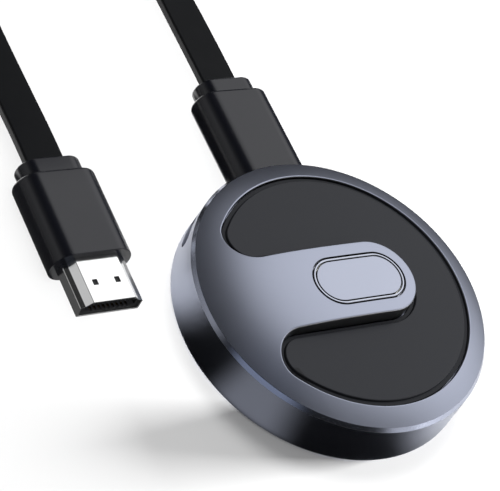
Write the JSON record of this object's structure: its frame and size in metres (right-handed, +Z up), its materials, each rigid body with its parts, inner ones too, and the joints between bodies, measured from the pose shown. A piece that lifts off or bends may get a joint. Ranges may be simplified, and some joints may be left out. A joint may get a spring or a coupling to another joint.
{
  "type": "hdmi display dongle",
  "caption": "Round wireless display dongle with a crowned metal top, function button, side charging port and a short flat cable to an HDMI type A plug.",
  "frame": {"origin": "centre of the disc's base, on the surface it rests on", "axes": "+Z up out of the crown; +Y towards the cable's exit; the tongue with the button comes in from -X"},
  "size_m": [0.0907, 0.1685, 0.0155],
  "materials": {
    "shell": "satin anodised blue-grey",
    "cap": "fine satin blue-grey",
    "bezel": "satin with a bright edge",
    "inlay": "smooth dark grey, satin",
    "cover": "fine moulded texture, dark blue-grey",
    "carrier": "natural moulded plastic",
    "switch_metal": "stamped cover",
    "switch_stem": "moulded black",
    "board": "green solder mask",
    "steel": "plated",
    "chips": "black moulded package",
    "pad": "soft silicone",
    "spreader": "plain rolled",
    "radio_board": "blue solder mask",
    "ceramic": "fired ceramic, stood in by plastic",
    "black_gloss": "smooth black, soft gloss",
    "contacts": "gold plated",
    "cores": "insulated cores",
    "cable": "matte black jacket",
    "inner": "natural inner moulding",
    "plug_metal": "bright nickel plate"
  },
  "bodies": {
    "housing": {"top_shell": "shell", "inlay_panel": "inlay", "button_bezel": "bezel", "switch_body": "switch_metal", "base_cover": "cover", "circuit_board": "board", "board_screws": "steel", "main_chip": "chips", "memory_chip": "chips", "flash_chip": "chips", "thermal_pad": "pad", "heat_spreader": "spreader", "radio_module": "radio_board", "radio_shield": "steel", "antenna": "ceramic", "crystal": "steel", "inductor": "chips", "capacitors": "ceramic", "port_shell": "steel", "port_tongue": "black_gloss", "port_contacts": "contacts", "cable_gland": "black_gloss", "cable_cores": "cores", "flat_cable": "cable", "plug_overmould": "black_gloss", "plug_core": "inner", "plug_shell": "plug_metal", "plug_insulator": "black_gloss", "plug_contacts_upper": "contacts", "plug_contacts_lower": "contacts"},
    "button": {"button_cap": "cap", "button_carrier": "carrier", "switch_actuator": "switch_stem"}
  },
  "joints": [
    {"name": "button_press", "type": "slide", "parent": "housing", "child": "button", "axis": [0, 0, -1], "range_m": [0, 0.0004], "stiffness_N_per_m": 4000}
  ]
}
